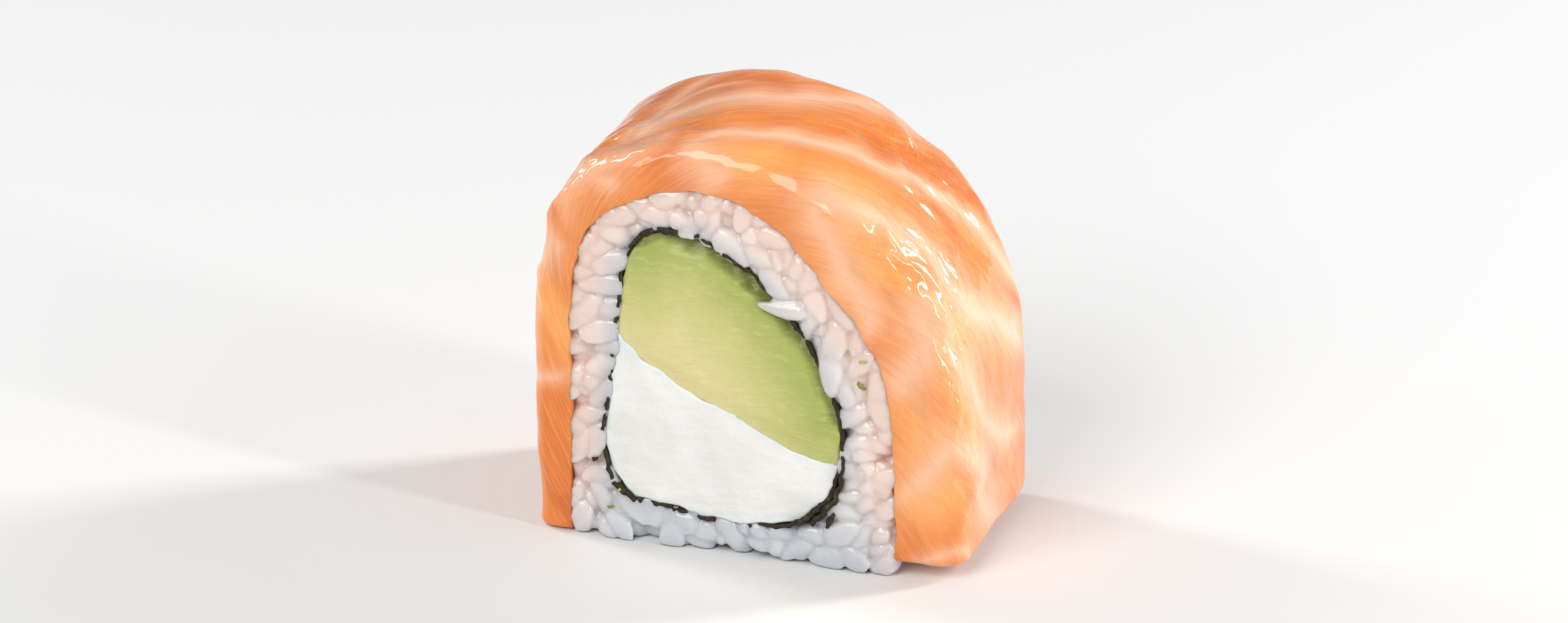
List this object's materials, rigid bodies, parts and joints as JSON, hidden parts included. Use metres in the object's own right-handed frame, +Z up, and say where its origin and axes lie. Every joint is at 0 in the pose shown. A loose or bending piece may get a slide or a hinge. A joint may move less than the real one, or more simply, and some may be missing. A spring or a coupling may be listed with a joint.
{
  "type": "uramaki roll",
  "caption": "Slice of an inside-out sushi roll: avocado and cream cheese in nori, rice round it, raw salmon draped over the top and sides.",
  "frame": {"origin": "centre of the footprint, on the surface that the slice stands on", "axes": "+Z up, the roll's axis along Y, the front cut face towards -Y, +X to the right as seen from the front"},
  "size_m": [0.0452, 0.0248, 0.0434],
  "materials": {
    "salmon": "wet raw salmon with pale fat lines",
    "rice": "moist, slightly translucent cooked rice",
    "nori": "dark, damp dried seaweed",
    "avocado": "smooth ripe avocado flesh, green at the rim",
    "cream_cheese": "soft white fresh cheese"
  },
  "bodies": {
    "root": {"salmon": "salmon", "rice": "rice", "nori": "nori", "avocado": "avocado", "cream_cheese": "cream_cheese"}
  },
  "joints": []
}
